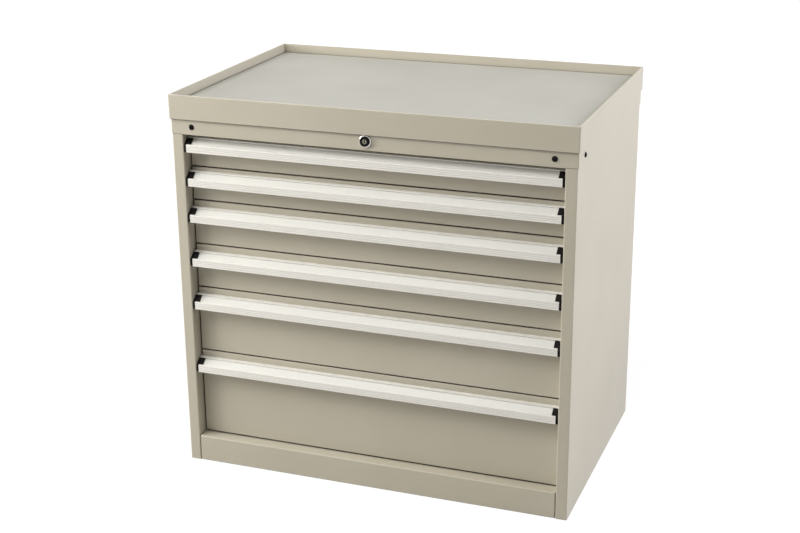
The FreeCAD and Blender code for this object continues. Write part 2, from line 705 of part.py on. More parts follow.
def cap_section():
    """Side outline of an end cap: sloped top, upright nose and a slanting underside."""
    bottom, heel = -HANDLE_FALL - HANDLE_LIP, -HANDLE_FOOT - CAP_DROP
    top = -SLOPE_START[1] - CAP_PLAY
    return [(0, top), (SLOPE_START[0], top, CAP_CREST_ROUND), (HANDLE_OUT, -HANDLE_FALL, NOSE_ROUND),
            (HANDLE_OUT, bottom, CAVITY_ROUND),
            (HANDLE_OUT - CAP_SHOE, bottom), (2 * HANDLE_WALL, heel), (0, heel)]


def drawer_end_caps(number):
    plate = prism(on_front(cap_section(), number), "yz", HANDLE_HALF, HANDLE_HALF + CAP_THICKNESS)
    tab = prism(on_front(channel_fill(CHANNEL_LIP, CHANNEL_DEPTH, LABEL_PLAY), number), "yz",
                HANDLE_HALF - CAP_TAB, HANDLE_HALF)
    rear, front = LABEL_PLAY, SLOPE_LENGTH - LABEL_PLAY
    neck = [slope(rear, -CAP_RISE), slope(front, -CAP_RISE), slope(front, CHANNEL_LIP),
            slope(rear, CHANNEL_LIP)]
    pad = prism(on_front(neck, number), "yz", HANDLE_HALF - CAP_TAB, HANDLE_HALF)
    cap = fused(plate, tab, pad)
    return Part.makeCompound([cap, mirrored(cap)])


# Lock

def lock_body():
    """Bezel and barrel, turned in one piece; radius and distance along Y from the band's face."""
    recess = LOCK_RECESS - LOCK_STANDOFF
    bore = LOCK_CORE_RADIUS + LOCK_CORE_PLAY
    seat = LOCK_COLLAR_RADIUS + LOCK_CORE_PLAY
    edge, step = LOCK_BEZEL_ROUND, LOCK_BEZEL_STEP
    corners = [(bore, recess), (seat, recess), (seat, -LOCK_STANDOFF),
               (LOCK_BEZEL_RADIUS - edge, -LOCK_STANDOFF), (LOCK_BEZEL_RADIUS - step, step - LOCK_STANDOFF),
               (LOCK_BEZEL_RADIUS, edge - LOCK_STANDOFF), (LOCK_BEZEL_RADIUS, 0),
               (LOCK_BARREL_RADIUS, 0), (LOCK_BARREL_RADIUS, LOCK_BARREL_LENGTH),
               (bore, LOCK_BARREL_LENGTH)]
    return turned([(r, y + FRONT, *rest) for r, y, *rest in corners], 0, LOCK_LEVEL)


def lock_collar():
    back = FRONT + LOCK_RECESS - LOCK_STANDOFF
    bore, radius = LOCK_CORE_RADIUS + LOCK_CORE_PLAY, LOCK_COLLAR_RADIUS
    corners = [(bore, COLLAR_FACE), (radius - LOCK_COLLAR_BEVEL, COLLAR_FACE),
               (radius, COLLAR_FACE + LOCK_COLLAR_BEVEL), (radius, back), (bore, back)]
    return turned(corners, 0, LOCK_LEVEL)


def lock_nut():
    back = WEB_BACK + LOCK_NUT_THICKNESS
    nut = hexagon(LOCK_NUT_FLATS, WEB_BACK, back)
    nut = nut.cut(rod(0, 0, LOCK_BARREL_RADIUS + SCREW_PLAY, (WEB_BACK - 1, back + 1)))
    return nut.translated(Vector(0, 0, LOCK_LEVEL))


def lock_cylinder():
    front = COLLAR_FACE + LOCK_CORE_BELOW
    core = rod(0, LOCK_LEVEL, LOCK_CORE_RADIUS, (front, BARREL_BACK))
    width, height, depth = KEYWAY
    keyway = block(both(width / 2), (front - 1, front + depth),
                   (LOCK_LEVEL - height / 2, LOCK_LEVEL + height / 2))
    return core.cut(keyway)


def cam_pin():
    """Centre of the cam's pin in the unlocked position, as x and z."""
    reach = CAM_RADIUS / math.sqrt(2)
    return -reach, LOCK_LEVEL + reach


def lock_cam():
    x, z = cam_pin()
    back = BARREL_BACK + CAM_THICKNESS
    radius = CAM_PIN_RADIUS + CAM_EDGE
    tip = CAM_RADIUS + radius
    hub = LOCK_CORE_RADIUS
    arm = prism([(-hub, -hub, CAM_HUB_ROUND), (hub, -hub, CAM_HUB_ROUND), (radius, tip, CAM_TIP_ROUND),
                 (-radius, tip, CAM_TIP_ROUND)], "xz", BARREL_BACK, back)
    arm.rotate(Vector(0, 0, 0), Vector(0, 1, 0), -45)
    arm = arm.translated(Vector(0, 0, LOCK_LEVEL))
    pin = rod(x, z, CAM_PIN_RADIUS, (BARREL_BACK, TRANSFER_BACK + BAR_PLAY))
    return fused(arm, pin)


def slot_hole(start, end, radius, y):
    """Round-ended slot through a plate, between two points (x, z)."""
    angle = math.atan2(end[1] - start[1], end[0] - start[0])
    dx, dz = -radius * math.sin(angle), radius * math.cos(angle)
    corners = [(start[0] + dx, start[1] + dz), (start[0] - dx, start[1] - dz),
               (end[0] - dx, end[1] - dz), (end[0] + dx, end[1] + dz)]
    return [prism(corners, "xz", y[0], y[1]), rod(*start, radius, y), rod(*end, radius, y)]


def lock_transfer_bar():
    y = (TRANSFER_FRONT, TRANSFER_BACK)
    low = BAND_BOTTOM + SHEET + BAR_PLAY
    high = low + TRANSFER_HEIGHT
    pin_x, pin_z = cam_pin()
    lock_play = LOCK_PIN_RADIUS + BAR_PLAY
    edge, radius = BAR_EDGE, BAR_ROUND
    cam_head = (pin_x - TRANSFER_HEAD / 2, pin_x + TRANSFER_HEAD / 2)
    cam_play = CAM_PIN_RADIUS + BAR_PLAY
    cam_top = LOCK_LEVEL + CAM_RADIUS + cam_play + edge
    end_head = (LOCK_PIN_X - LOCK_TRAVEL - lock_play - edge, LOCK_PIN_X + lock_play + edge)
    end_top = LOCK_PIN_LEVEL + lock_play + edge
    corners = [(cam_head[0], low), (end_head[1], low), (end_head[1], end_top, radius),
               (end_head[0], end_top, radius), (end_head[0], high, radius), (cam_head[1], high, radius),
               (cam_head[1], cam_top, radius), (cam_head[0], cam_top, radius)]
    bar = prism(corners, "xz", *y)
    wide = (y[0] - 1, y[1] + 1)
    cam_slot = slot_hole((pin_x, pin_z), (pin_x, LOCK_LEVEL + CAM_RADIUS), cam_play, wide)
    ramp = slot_hole((LOCK_PIN_X - LOCK_TRAVEL, LOCK_PIN_LEVEL - LOCK_TRAVEL), (LOCK_PIN_X, LOCK_PIN_LEVEL),
                     lock_play, wide)
    return bar.cut(cam_slot + ramp)


def lock_bar_span():
    return hook_bottom(len(BOTTOMS)) - HOOK_HEIGHT, LOCK_PIN_LEVEL + 2 * LOCK_PIN_RADIUS


def lock_hook(number):
    """Plate on the front of the lock bar that drops in front of a drawer's catch."""
    low = hook_bottom(number)
    high = low + HOOK_HEIGHT
    tip, seat = BOX_HALF + HOOK_REACH, LOCK_BAR_LEFT + HOOK_SEAT
    return prism([(tip, low, HOOK_ROUND), (seat, low), (seat, high), (tip, high, HOOK_ROUND)], "xz",
                 LOCK_BAR_FRONT - HOOK_THICKNESS, LOCK_BAR_FRONT)


def lock_bar():
    y = (LOCK_BAR_FRONT, LOCK_BAR_BACK)
    strip = block((LOCK_BAR_LEFT, LOCK_BAR_LEFT + LOCK_BAR_WIDTH), y, lock_bar_span())
    pin = rod(LOCK_PIN_X, LOCK_PIN_LEVEL, LOCK_PIN_RADIUS, (TRANSFER_FRONT - LOCK_PIN_AHEAD, LOCK_BAR_BACK))
    bar = fused(strip, pin)
    x = LOCK_BAR_LEFT + LOCK_BAR_WIDTH / 2
    wide = (y[0] - 1, y[1] + 1)
    for level in stud_levels():
        bar = bar.cut(slot_hole((x, level), (x, level + LOCK_TRAVEL), STUD_RADIUS + BAR_PLAY, wide))
    return Part.makeCompound([bar] + [lock_hook(n) for n in range(1, len(BOTTOMS) + 1)])


def cabinet_nodes():
    right = side_panel_right()
    return {
        "side_panel_right": right,
        "side_panel_left": mirrored(right),
        "back_panel": back_panel(),
        "base_panel": base_panel(),
        "plinth": plinth(),
        "top_band": top_band(),
        "top_tray": top_tray(),
        "top_mat": top_mat(),
        "cover_screws": cover_screws(),
        "runner_uprights": runner_uprights(),
        "cabinet_rails": cabinet_rails(),
        "lock_body": lock_body(),
        "lock_collar": lock_collar(),
        "lock_nut": lock_nut(),
        "lock_cylinder": lock_cylinder(),
        "lock_cam": lock_cam(),
        "lock_transfer_bar": lock_transfer_bar(),
        "lock_bar": lock_bar(),
    }


def drawer_nodes(number):
    name = f"drawer_{number}_"
    return {
        name + "box": drawer_box(number),
        name + "front": drawer_front(number),
        name + "handle": drawer_handle(number),
        name + "end_caps": drawer_end_caps(number),
        name + "label": drawer_label(number),
        name + "rails": drawer_rails(number),
        name + "middle_rails": middle_rails(number),
    }


def main():
    os.makedirs("parts", exist_ok=True)
    nodes = cabinet_nodes()
    for number in range(1, len(FRONT_HEIGHTS) + 1):
        nodes.update(drawer_nodes(number))
    for name, shape in nodes.items():
        if not shape.isValid():
            raise ValueError(f"{name} is not a valid solid")
        shape.exportStep(f"parts/{name}.step")
        print(name, len(shape.Solids), round(shape.Volume / 1000, 2), "cm3")


main()
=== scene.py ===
import json
import math
import bmesh
import bpy
from mathutils import Matrix, Vector

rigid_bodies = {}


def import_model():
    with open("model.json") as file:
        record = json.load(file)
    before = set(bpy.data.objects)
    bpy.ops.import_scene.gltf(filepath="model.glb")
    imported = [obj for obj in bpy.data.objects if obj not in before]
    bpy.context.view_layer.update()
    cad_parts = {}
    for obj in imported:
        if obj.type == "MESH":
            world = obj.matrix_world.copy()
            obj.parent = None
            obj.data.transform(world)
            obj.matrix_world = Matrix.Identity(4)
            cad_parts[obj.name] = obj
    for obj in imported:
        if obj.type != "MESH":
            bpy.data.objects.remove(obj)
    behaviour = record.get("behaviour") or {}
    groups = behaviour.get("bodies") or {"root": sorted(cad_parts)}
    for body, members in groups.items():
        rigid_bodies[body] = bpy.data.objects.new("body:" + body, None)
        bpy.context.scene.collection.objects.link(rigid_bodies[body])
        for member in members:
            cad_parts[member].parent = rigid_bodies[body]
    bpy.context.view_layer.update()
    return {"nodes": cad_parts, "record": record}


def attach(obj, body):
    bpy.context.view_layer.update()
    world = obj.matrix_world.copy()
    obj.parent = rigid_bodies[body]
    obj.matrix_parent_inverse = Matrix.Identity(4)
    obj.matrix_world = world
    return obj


for spare in list(bpy.data.objects):  # whatever the file opened with
    bpy.data.objects.remove(spare)

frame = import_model()
nodes = frame["nodes"]
mm = 0.001


# Helpers

def linear(hexColour):
    # sRGB hex to linear RGBA
    parts = [int(hexColour[i:i + 2], 16) / 255 for i in (1, 3, 5)]
    return [p / 12.92 if p <= 0.04045 else ((p + 0.055) / 1.055) ** 2.4 for p in parts] + [1.0]


def addNode(tree, kind, inputs=None, output=0, **settings):
    # adds a node with its settings and links, and gives one of its outputs for the next node
    node = tree.nodes.new("ShaderNode" + kind)
    for name, value in settings.items():
        setattr(node, name, value)
    for socket, value in (inputs or {}).items():
        if isinstance(value, bpy.types.NodeSocket):
            tree.links.new(value, node.inputs[socket])
        else:
            node.inputs[socket].default_value = value
    return node.outputs[output] if len(node.outputs) else node


firstColour, secondColour, mixedColour = 6, 7, 2  # a Mix node's colour sockets
noiseSpan = {"From Min": 0.3, "From Max": 0.7}    # nearly all of a noise lies between these


def emptyMaterial(name):
    material = bpy.data.materials.new(name)
    material.use_nodes = True
    material.node_tree.nodes.clear()
    return material, material.node_tree


def perMm(size):
    # texture scale that gives features of a size in mm, on coordinates in metres
    return 1 / (size * mm)


def placeOn(tree, stretch=(1, 1, 1)):
    # the piece's own coordinates, which move with its body
    place = addNode(tree, "TexCoord", output="Object")
    return addNode(tree, "Mapping", {"Vector": place, "Scale": stretch})


def paintRecessShade(tree, colour, recess):
    # painted shade: darkens the colour where a surface is closed in within a few mm
    openness = addNode(tree, "AmbientOcclusion", {"Distance": recess["reachMm"] * mm}, "AO", samples=6)
    low, high = recess["open"]
    cover = addNode(tree, "MapRange", {"Value": openness, "From Min": low, "From Max": high,
                                       "To Min": recess["most"], "To Max": 0})
    return addNode(tree, "Mix", {"Factor": cover, firstColour: colour,
                                 secondColour: linear(recess["colour"])}, mixedColour, data_type="RGBA")


# Materials

powderLook = {
    "colour": "#c2bcad",
    "shade": "#bdb7a7",       # the thinner film in the drifts
    "inside": "#bdb7a8",      # the drawer boxes' coat
    # painted shade: the colour goes dark deep in the seams and gaps
    "recess": {"colour": "#1f1b15", "reachMm": 9, "open": (0.06, 0.42), "most": 0.95},  # deep in the seams
    "roughness": (0.42, 0.50),
    "ior": 1.5,
    "driftMm": 190,           # how wide the film's slow changes in thickness are
    "speck": 0.25,            # how much of the shade the grain shows
    "peelMm": 2.2,            # real orange peel is near 1 mm, drawn coarser so that it shows
    "peelDepthMm": 0.012,
    "grainMm": 0.7,           # real powder grains are near 0.05 mm, drawn coarser so that they show
    "grainDepthMm": 0.004,
}


def powderCoatedSteel(name, colour, shade):
    # polyester powder baked on sheet steel: even pebble grey, a soft satin sheen, a faint orange peel, and
    # painted shade that darkens the colour deep in the seams
    look = powderLook
    material, tree = emptyMaterial(name)
    where = placeOn(tree)
    drift = addNode(tree, "TexNoise", {"Vector": where, "Scale": perMm(look["driftMm"])})
    peel = addNode(tree, "TexNoise", {"Vector": where, "Scale": perMm(look["peelMm"]), "Detail": 1})
    grain = addNode(tree, "TexNoise", {"Vector": where, "Scale": perMm(look["grainMm"]), "Detail": 0})
    film = addNode(tree, "MapRange", {"Value": drift, **noiseSpan})
    speck = addNode(tree, "MapRange", {"Value": grain, **noiseSpan, "To Max": look["speck"]})
    tint = addNode(tree, "Mix", {"Factor": film, firstColour: linear(colour), secondColour: linear(shade)},
                   mixedColour, data_type="RGBA")
    tint = addNode(tree, "Mix", {"Factor": speck, firstColour: tint, secondColour: linear(shade)},
                   mixedColour, data_type="RGBA")
    low, high = look["roughness"]
    satin = addNode(tree, "MapRange", {"Value": peel, **noiseSpan, "To Min": low, "To Max": high})
    relief = addNode(tree, "Bump", {"Height": peel, "Distance": look["peelDepthMm"] * mm})
    relief = addNode(tree, "Bump", {"Height": grain, "Distance": look["grainDepthMm"] * mm, "Normal": relief})
    coat = addNode(tree, "BsdfPrincipled", {"Base Color": paintRecessShade(tree, tint, look["recess"]),
                                            "Roughness": satin, "IOR": look["ior"], "Normal": relief})
    addNode(tree, "OutputMaterial", {"Surface": coat})
    return material


aluminiumLook = {
    "colour": "#eeece8",
    "streak": "#e4e2dd",
    # painted shade: the colour goes dark in the grooves and where the rail sits closed in under the band
    "grooves": {"colour": "#46423a", "reachMm": 1.6, "open": (0.25, 0.95), "most": 0.85},
    "underBandShade": {"colour": "#1c1914", "reachMm": 12, "open": (0.14, 0.40), "most": 0.9},  # painted shade under the band
    "metal": 0.06,            # the blasted skin scatters most of the light like a pale powder
    "roughness": (0.36, 0.46),
    "cloudMm": 60,            # the anodising bath leaves broad, slight changes in gloss
    "cloudRoughness": (-0.03, 0.03),
    "lineMm": 0.9,            # die lines, really near 0.2 mm apart, drawn coarser so that they show
    "lineDepthMm": 0.01,
    "lineStretch": 0.0008,
}


def anodisedAluminium():
    # extruded rail with a clear matt anodised skin: pale satin metal, with fine lines drawn out along it, and
    # painted shade in its grooves and under the band
    look = aluminiumLook
    material, tree = emptyMaterial("anodisedAluminium")
    along = placeOn(tree, (look["lineStretch"], 1, 1))
    lines = addNode(tree, "TexNoise", {"Vector": along, "Scale": perMm(look["lineMm"]), "Detail": 3})
    cloud = addNode(tree, "TexNoise", {"Vector": placeOn(tree), "Scale": perMm(look["cloudMm"])})
    streak = addNode(tree, "MapRange", {"Value": lines, **noiseSpan})
    colour = addNode(tree, "Mix", {"Factor": streak, firstColour: linear(look["colour"]),
                                   secondColour: linear(look["streak"])}, mixedColour, data_type="RGBA")
    # painted shade in the grooves and under the band
    for recess in (look["grooves"], look["underBandShade"]):
        colour = paintRecessShade(tree, colour, recess)
    low, high = look["roughness"]
    satin = addNode(tree, "MapRange", {"Value": lines, **noiseSpan, "To Min": low, "To Max": high})
    low, high = look["cloudRoughness"]
    haze = addNode(tree, "MapRange", {"Value": cloud, **noiseSpan, "To Min": low, "To Max": high})
    satin = addNode(tree, "Math", {0: satin, 1: haze}, operation="ADD")
    relief = addNode(tree, "Bump", {"Height": lines, "Distance": look["lineDepthMm"] * mm})
    metal = addNode(tree, "BsdfPrincipled", {"Base Color": colour, "Metallic": look["metal"],
                                             "Roughness": satin, "Normal": relief})
    addNode(tree, "OutputMaterial", {"Surface": metal})
    return material


absLook = {
    "colour": "#0a0908",
    "worn": "#100e0c",
    "wornMm": 14,             # fingers polish the surface in spots of this size
    "roughness": (0.5, 0.62),
    "gloss": 0.1,
    "sparkMm": 0.8,           # the real texture is near 0.1 mm, drawn coarser so that it shows
    "sparkDepthMm": 0.02,
}


def mouldedAbs():
    # injection moulded ABS, black right through, with the fine texture of a spark-eroded mould
    look = absLook
    material, tree = emptyMaterial("mouldedAbs")
    where = placeOn(tree)
    spark = addNode(tree, "TexNoise", {"Vector": where, "Scale": perMm(look["sparkMm"]), "Detail": 1})
    touch = addNode(tree, "TexNoise", {"Vector": where, "Scale": perMm(look["wornMm"])})
    worn = addNode(tree, "MapRange", {"Value": touch, **noiseSpan})
    colour = addNode(tree, "Mix", {"Factor": worn, firstColour: linear(look["colour"]),
                                   secondColour: linear(look["worn"])}, mixedColour, data_type="RGBA")
    low, high = look["roughness"]
    matt = addNode(tree, "MapRange", {"Value": spark, **noiseSpan, "To Min": low, "To Max": high})
    relief = addNode(tree, "Bump", {"Height": spark, "Distance": look["sparkDepthMm"] * mm})
    plastic = addNode(tree, "BsdfPrincipled", {"Base Color": colour, "Roughness": matt,
                                               "Specular IOR Level": look["gloss"], "Normal": relief})
    addNode(tree, "OutputMaterial", {"Surface": plastic})
    return material


labelLook = {
    "card": "#e3e3df",
    "fibre": "#dddcd7",
    "fibreMm": 1.4,           # the fibres' clumps, as fine fibres don't show
    "fibreStretch": 0.4,
    "roughness": 0.62,
    "film": 0.4,
    "filmRoughness": 0.22,
    "filmIor": 1.46,
}


def cardUnderFilm():
    # blank card strip behind clear film: warm white and matt, with the film's thin gloss on top
    look = labelLook
    material, tree = emptyMaterial("cardUnderFilm")
    along = placeOn(tree, (look["fibreStretch"], 1, 1))
    pulp = addNode(tree, "TexNoise", {"Vector": along, "Scale": perMm(look["fibreMm"]), "Detail": 3})
    fibre = addNode(tree, "MapRange", {"Value": pulp, **noiseSpan})
    colour = addNode(tree, "Mix", {"Factor": fibre, firstColour: linear(look["card"]),
                                   secondColour: linear(look["fibre"])}, mixedColour, data_type="RGBA")
    card = addNode(tree, "BsdfPrincipled", {"Base Color": colour, "Roughness": look["roughness"],
                                            "Coat Weight": look["film"], "Coat IOR": look["filmIor"],
                                            "Coat Roughness": look["filmRoughness"]})
    addNode(tree, "OutputMaterial", {"Surface": card})
    return material


matLook = {
    "colour": "#b1b0a7",
    "shade": "#a9a89e",
    "shadeMm": 220,           # broad, slight changes in tone from use
    "roughness": (0.50, 0.60),
    "ior": 1.5,
    "leatherMm": 2.4,         # the real grain is near 1 mm, drawn coarser so that it shows
    "leatherDepthMm": 0.03,
    "leatherSpan": {"From Min": 0, "From Max": 0.8},
}


def calenderedVinyl():
    # rolled vinyl mat, pale cool grey, with a fine leather grain pressed in
    look = matLook
    material, tree = emptyMaterial("calenderedVinyl")
    where = placeOn(tree)
    cells = addNode(tree, "TexVoronoi", {"Vector": where, "Scale": perMm(look["leatherMm"])},
                    "Distance", feature="SMOOTH_F1")
    drift = addNode(tree, "TexNoise", {"Vector": where, "Scale": perMm(look["shadeMm"])})
    shade = addNode(tree, "MapRange", {"Value": drift, **noiseSpan})
    colour = addNode(tree, "Mix", {"Factor": shade, firstColour: linear(look["colour"]),
                                   secondColour: linear(look["shade"])}, mixedColour, data_type="RGBA")
    low, high = look["roughness"]
    matt = addNode(tree, "MapRange", {"Value": cells, **look["leatherSpan"], "To Min": low, "To Max": high})
    relief = addNode(tree, "Bump", {"Height": cells, "Distance": look["leatherDepthMm"] * mm})
    vinyl = addNode(tree, "BsdfPrincipled", {"Base Color": colour, "Roughness": matt, "IOR": look["ior"],
                                             "Normal": relief})
    addNode(tree, "OutputMaterial", {"Surface": vinyl})
    return material


zincLook = {
    "colour": "#c4c7c8",
    "shade": "#a9adb0",
    "patchMm": 5,             # soft patches of the plating
    "roughness": (0.28, 0.44),
    "tint": "#c9c6b6",        # the passivate's faint yellow
    "tintMost": 0.5,
    "tintMm": 70,
    "rollMm": 1.2,            # lines from the rolling mill, drawn out along Y
    "rollDepthMm": 0.006,
    "rollStretch": 0.03,
}


def zincPlatedSteel():
    # bright zinc with a clear passivate: cool grey metal in soft patches, faintly yellow in places
    look = zincLook
    material, tree = emptyMaterial("zincPlatedSteel")
    where = placeOn(tree)
    along = placeOn(tree, (1, look["rollStretch"], 1))
    cells = addNode(tree, "TexVoronoi", {"Vector": where, "Scale": perMm(look["patchMm"])}, "Color")
    patch = addNode(tree, "SeparateColor", {"Color": cells})
    cloud = addNode(tree, "TexNoise", {"Vector": where, "Scale": perMm(look["tintMm"])})
    film = addNode(tree, "MapRange", {"Value": cloud, **noiseSpan, "To Max": look["tintMost"]})
    lines = addNode(tree, "TexNoise", {"Vector": along, "Scale": perMm(look["rollMm"])})
    colour = addNode(tree, "Mix", {"Factor": patch, firstColour: linear(look["colour"]),
                                   secondColour: linear(look["shade"])}, mixedColour, data_type="RGBA")
    colour = addNode(tree, "Mix", {"Factor": film, firstColour: colour, secondColour: linear(look["tint"])},
                     mixedColour, data_type="RGBA")
    low, high = look["roughness"]
    bright = addNode(tree, "MapRange", {"Value": patch, "To Min": low, "To Max": high})
    relief = addNode(tree, "Bump", {"Height": lines, "Distance": look["rollDepthMm"] * mm})
    metal = addNode(tree, "BsdfPrincipled", {"Base Color": colour, "Metallic": 1, "Roughness": bright,
                                             "Normal": relief})
    addNode(tree, "OutputMaterial", {"Surface": metal})
    return material


platedLook = {
    # the tool's marks are really near 0.1 mm apart, drawn coarser so that they show
    "blackOxideSteel": {"colour": "#1d1b1a", "roughness": (0.34, 0.50), "turnedMm": 1.5},
    "nickelPlatedBrass": {"colour": "#dad8d3", "roughness": (0.07, 0.14), "turnedMm": 1.0},
    "satinNickel": {"colour": "#8a8679", "roughness": (0.24, 0.34), "turnedMm": 0.8},
    "turnedDepthMm": 0.004,
}


def platedMetal(name):
    # turned and plated part: the marks of the tool show faintly in the plating
    look = platedLook[name]
    material, tree = emptyMaterial(name)
    where = placeOn(tree)
    turned = addNode(tree, "TexNoise", {"Vector": where, "Scale": perMm(look["turnedMm"]), "Detail": 1})
    low, high = look["roughness"]
    bright = addNode(tree, "MapRange", {"Value": turned, **noiseSpan, "To Min": low, "To Max": high})
    relief = addNode(tree, "Bump", {"Height": turned, "Distance": platedLook["turnedDepthMm"] * mm})
    metal = addNode(tree, "BsdfPrincipled", {"Base Color": linear(look["colour"]), "Metallic": 1,
                                             "Roughness": bright, "Normal": relief})
    addNode(tree, "OutputMaterial", {"Surface": metal})
    return material


slotMaterials = {
    "paint": powderCoatedSteel("powderCoatedSteel", powderLook["colour"], powderLook["shade"]),
    "drawer_paint": powderCoatedSteel("powderCoatedSteelInside", powderLook["inside"], powderLook["shade"]),
    "mat": calenderedVinyl(),
    "black_screw": platedMetal("blackOxideSteel"),
    "zinc": zincPlatedSteel(),
    "chrome": platedMetal("nickelPlatedBrass"),
    "lock_core": platedMetal("satinNickel"),
    "black_plastic": mouldedAbs(),
    "handle": anodisedAluminium(),
    "label": cardUnderFilm(),
}
print("materials:", len(slotMaterials))


# The CAD nodes keep their shape and get a finish and finely broken edges

edgeLook = {
    "joinMm": 0.005,          # the mesh of each face is joined to its neighbours'
    "flatDeg": 0.3,           # what lies flatter than this is one face
    "breakMm": 0.22,          # every cut edge has a fine broken corner
    "sharpDeg": 32,
    "faceWeight": 80,         # large faces keep their shading flat up to the broken corner
}


def dressNode(name, slotName):
    look = edgeLook
    piece = nodes[name]
    piece.material_slots[0].material = slotMaterials[slotName]
    join = piece.modifiers.new("joinFaces", "WELD")
    join.merge_threshold = look["joinMm"] * mm
    flat = piece.modifiers.new("wholeFaces", "DECIMATE")
    flat.decimate_type = "DISSOLVE"
    flat.angle_limit = math.radians(look["flatDeg"])
    edge = piece.modifiers.new("brokenEdges", "BEVEL")
    edge.width = look["breakMm"] * mm
    edge.segments = 2
    edge.limit_method = "ANGLE"
    edge.angle_limit = math.radians(look["sharpDeg"])
    shade = piece.modifiers.new("evenShading", "WEIGHTED_NORMAL")
    shade.weight = look["faceWeight"]
    shade.keep_sharp = False


for row in frame["record"]["subparts"]:
    dressNode(row["node"], row["material_slot"])


# Thin trim, and black strips, frames and rings that stand in for shade

def addPiece(name, shape, slotName, body="cabinet", breakMm=None):
    bmesh.ops.recalc_face_normals(shape, faces=shape.faces)
    mesh = bpy.data.meshes.new(name)
    shape.to_mesh(mesh)
    shape.free()
    mesh.materials.append(slotMaterials[slotName])
    piece = bpy.data.objects.new(name, mesh)
    bpy.context.scene.collection.objects.link(piece)
    if breakMm:
        edge = piece.modifiers.new("brokenEdges", "BEVEL")
        edge.width = breakMm * mm
        edge.segments = 2
    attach(piece, body)


def addStrip(name, look, slotName, body="cabinet"):
    # straight strip along X, of rectangular section
    shape = bmesh.new()
    corners = (("frontMm", "lowMm"), ("backMm", "lowMm"), ("backMm", "highMm"), ("frontMm", "highMm"))
    ends = [[shape.verts.new((side * look["halfMm"] * mm, look[y] * mm, look[z] * mm)) for y, z in corners]
            for side in (-1, 1)]
    for k in range(4):
        after = (k + 1) % 4
        shape.faces.new((ends[0][k], ends[0][after], ends[1][after], ends[1][k]))
    shape.faces.new(ends[0])
    shape.faces.new(ends[1])
    addPiece(name, shape, slotName, body, look["breakMm"])


# the band's lower edge is folded back flat
hemLook = {"frontMm": -290.07, "backMm": -289.17, "lowMm": 762.2, "highMm": 770, "halfMm": 414.4,
           "breakMm": 0.03}
addStrip("bandHem", hemLook, "paint")

# a black strip behind the fold stands in for the shade line under the band
bandShadeLook = {"frontMm": -289.4, "backMm": -285.5, "lowMm": 761.6, "highMm": 763.2, "halfMm": 413.8,
            "breakMm": 0.4}
addStrip("bandShadeStrip", bandShadeLook, "black_plastic")

# a black strip under the front of the tray's skirt stands in for the fine shade line there
skirtShadeLook = {"frontMm": -293.8, "backMm": -289.2, "lowMm": 794.4, "highMm": 795.05, "halfMm": 441,
            "breakMm": 0.1}
addStrip("skirtShadeStrip", skirtShadeLook, "black_plastic")

# a black block inside the keyway stands in for the shade deep in the slot
keywayShadeLook = {"frontMm": -294.7, "backMm": -290.5, "lowMm": 778.3, "highMm": 784.7, "halfMm": 1.05,
               "breakMm": 0.1}
addStrip("keywayShadeBlock", keywayShadeLook, "black_plastic", "lock_core")

# black frame round the mat, painted shadow beside the rim: half its length and width inside and outside
matShadowLook = {"insideMm": (436.8, 286.8), "outsideMm": (438.1, 288.1), "lowMm": 824.02, "highMm": 827.06}


def addMatShadowFrame():
    # four-sided black frame of square section, painted shadow beside the rim
    look = matShadowLook
    shape = bmesh.new()
    rings = []
    for side, level in (("insideMm", "lowMm"), ("outsideMm", "lowMm"), ("outsideMm", "highMm"),
                        ("insideMm", "highMm")):
        halfX, halfY = look[side]
        rings.append([shape.verts.new((sx * halfX * mm, sy * halfY * mm, look[level] * mm))
                      for sx, sy in ((-1, -1), (1, -1), (1, 1), (-1, 1))])
    for k in range(4):
        first, second = rings[k], rings[(k + 1) % 4]
        for i in range(4):
            after = (i + 1) % 4
            shape.faces.new((first[i], first[after], second[after], second[i]))
    addPiece("matShadowFrame", shape, "black_plastic")


addMatShadowFrame()

screwShadeLook = {
    "radiusMm": 6.2,
    "taperMm": 0.15,
    "thickMm": 0.4,
    "turns": 64,              # flats round the rim
    "levelMm": 779,
    "frontMm": (393.5, -290),  # each pair's place in X and Y, on the right
    "sideMm": (441.5, -240),
}


def addScrewShadeRings():
    # black ring under each cover screw's head, painted shade for the dark rim round it
    look = screwShadeLook
    shape = bmesh.new()
    thick = look["thickMm"] * mm
    frontX, frontY = look["frontMm"]
    sideX, sideY = look["sideMm"]
    seats = [((side * frontX, frontY), (0, -1)) for side in (-1, 1)]
    seats += [((side * sideX, sideY), (side, 0)) for side in (-1, 1)]
    for (x, y), (outX, outY) in seats:
        middle = Vector((x * mm + outX * thick / 2, y * mm + outY * thick / 2, look["levelMm"] * mm))
        turn = Vector((outX, outY, 0)).to_track_quat("Z", "Y").to_matrix().to_4x4()
        bmesh.ops.create_cone(shape, cap_ends=True, segments=look["turns"], radius1=look["radiusMm"] * mm,
                              radius2=(look["radiusMm"] - look["taperMm"]) * mm, depth=thick,
                              matrix=Matrix.Translation(middle) @ turn)
    addPiece("screwShadeRings", shape, "black_plastic")


addScrewShadeRings()
# the seal, foam, keyway shutter, mat edge and washers are black pieces of painted shade
print("trim: hem, seal, foam, keyway shutter, mat edge and washers")


# Floor

def shownRays(tree):
    # 1 for what the camera sees, straight or in metal and glass
    rays = addNode(tree, "LightPath").node.outputs
    shown = addNode(tree, "Math", {0: rays["Is Camera Ray"], 1: rays["Is Glossy Ray"]}, operation="MAXIMUM")
    return addNode(tree, "Math", {0: shown, 1: rays["Is Transmission Ray"]}, operation="MAXIMUM")


floorLook = {
    "reachM": 60,
    "paper": "#f3f3f3",
    "bounce": "#c4c2bc",      # what the floor throws back at the cabinet
    "glow": "#ffffff",
    "white": 1.07,
    "keptShadow": 0.16,
    "shadowM": (0.9, 2.2),    # the kept shadow fades out over this distance
}


